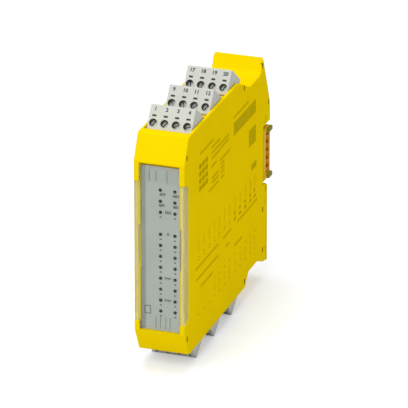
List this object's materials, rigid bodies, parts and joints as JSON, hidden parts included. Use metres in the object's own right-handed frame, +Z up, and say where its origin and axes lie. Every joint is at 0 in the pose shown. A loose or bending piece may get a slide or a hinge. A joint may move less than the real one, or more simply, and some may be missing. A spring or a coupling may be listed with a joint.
{
  "type": "safety relay",
  "caption": "Narrow yellow rail-mounted safety relay housing with a hinged clear front cover, indicator windows, angled pluggable screw terminals above and below, and a sprung rail foot.",
  "frame": {"origin": "centre of the 35 mm rail, in the plane on which its flanges seat", "axes": "+Z up, +Y from the front face towards the rail, +X to the right when seen from the front"},
  "size_m": [0.0238, 0.1141, 0.1134],
  "materials": {
    "housing_plastic": "fine moulded texture, semi-matte",
    "clear_cover": "clear moulded, polished",
    "label": "satin film on a stiff card",
    "light_guide": "clear moulded",
    "circuit_board": "solder-masked glass-epoxy laminate",
    "terminal_plastic": "fine moulded texture",
    "header_plastic": "fine moulded texture",
    "steel": "zinc-plated, satin",
    "contact_metal": "plated spring strip",
    "relay_case": "smooth moulded case",
    "black_plastic": "moulded",
    "connector_plastic": "fine moulded texture",
    "ferrite": "sintered, matt",
    "aluminium_can": "drawn can with a sleeve",
    "copper_winding": "enamelled wire wound on a bobbin"
  },
  "bodies": {
    "housing": {"board_link": "black_plastic", "bus_socket": "black_plastic", "capacitors": "aluminium_can", "choke": "copper_winding", "foot_spring": "steel", "front_label": "label", "header_pins_bottom_1": "contact_metal", "header_pins_bottom_2": "contact_metal", "header_pins_bottom_3": "contact_metal", "header_pins_top_1": "contact_metal", "header_pins_top_2": "contact_metal", "header_pins_top_3": "contact_metal", "housing_shell": "housing_plastic", "led_board": "circuit_board", "leds": "light_guide", "light_guide_left": "light_guide", "light_guide_right": "light_guide", "logic_board": "circuit_board", "main_board": "circuit_board", "optocouplers": "black_plastic", "pin_header_bottom_1": "header_plastic", "pin_header_bottom_2": "header_plastic", "pin_header_bottom_3": "header_plastic", "pin_header_top_1": "header_plastic", "pin_header_top_2": "header_plastic", "pin_header_top_3": "header_plastic", "processor_a": "black_plastic", "processor_b": "black_plastic", "relay_1": "relay_case", "relay_2": "relay_case", "relay_3": "relay_case", "side_cover": "housing_plastic", "transformer": "ferrite"},
    "front_cover": {"front_cover": "clear_cover"},
    "rail_foot": {"rail_foot": "housing_plastic"},
    "bus_connector": {"bus_connector": "connector_plastic", "bus_contacts": "contact_metal"},
    "terminal_top_1": {"plug_top_1": "terminal_plastic", "clamp_screws_top_1": "steel", "wire_clamps_top_1": "steel"},
    "terminal_top_2": {"plug_top_2": "terminal_plastic", "clamp_screws_top_2": "steel", "wire_clamps_top_2": "steel"},
    "terminal_top_3": {"plug_top_3": "terminal_plastic", "clamp_screws_top_3": "steel", "wire_clamps_top_3": "steel"},
    "terminal_bottom_1": {"plug_bottom_1": "terminal_plastic", "clamp_screws_bottom_1": "steel", "wire_clamps_bottom_1": "steel"},
    "terminal_bottom_2": {"plug_bottom_2": "terminal_plastic", "clamp_screws_bottom_2": "steel", "wire_clamps_bottom_2": "steel"},
    "terminal_bottom_3": {"plug_bottom_3": "terminal_plastic", "clamp_screws_bottom_3": "steel", "wire_clamps_bottom_3": "steel"}
  },
  "joints": [
    {"name": "cover_hinge", "type": "hinge", "parent": "housing", "child": "front_cover", "pos_m": [0, -0.10665, -0.0392], "axis": [1, 0, 0], "range_deg": [0, 100]},
    {"name": "pull_top_1", "type": "slide", "parent": "housing", "child": "terminal_top_1", "axis": [0, -0.7986, 0.6018], "range_m": [0, 0.014]},
    {"name": "pull_top_2", "type": "slide", "parent": "housing", "child": "terminal_top_2", "axis": [0, -0.7986, 0.6018], "range_m": [0, 0.014]},
    {"name": "pull_top_3", "type": "slide", "parent": "housing", "child": "terminal_top_3", "axis": [0, -0.7986, 0.6018], "range_m": [0, 0.014]},
    {"name": "pull_bottom_1", "type": "slide", "parent": "housing", "child": "terminal_bottom_1", "axis": [0, -0.7986, -0.6018], "range_m": [0, 0.014]},
    {"name": "pull_bottom_2", "type": "slide", "parent": "housing", "child": "terminal_bottom_2", "axis": [0, -0.7986, -0.6018], "range_m": [0, 0.014]},
    {"name": "pull_bottom_3", "type": "slide", "parent": "housing", "child": "terminal_bottom_3", "axis": [0, -0.7986, -0.6018], "range_m": [0, 0.014]},
    {"name": "foot_slide", "type": "slide", "parent": "housing", "child": "rail_foot", "axis": [0, 0, -1], "range_m": [0, 0.0044], "stiffness_N_per_m": 2000, "springref_m": -0.004, "deforming": ["foot_spring"]},
    {"name": "bus_pull", "type": "slide", "parent": "housing", "child": "bus_connector", "axis": [0, 1, 0], "range_m": [0, 0.008]}
  ]
}
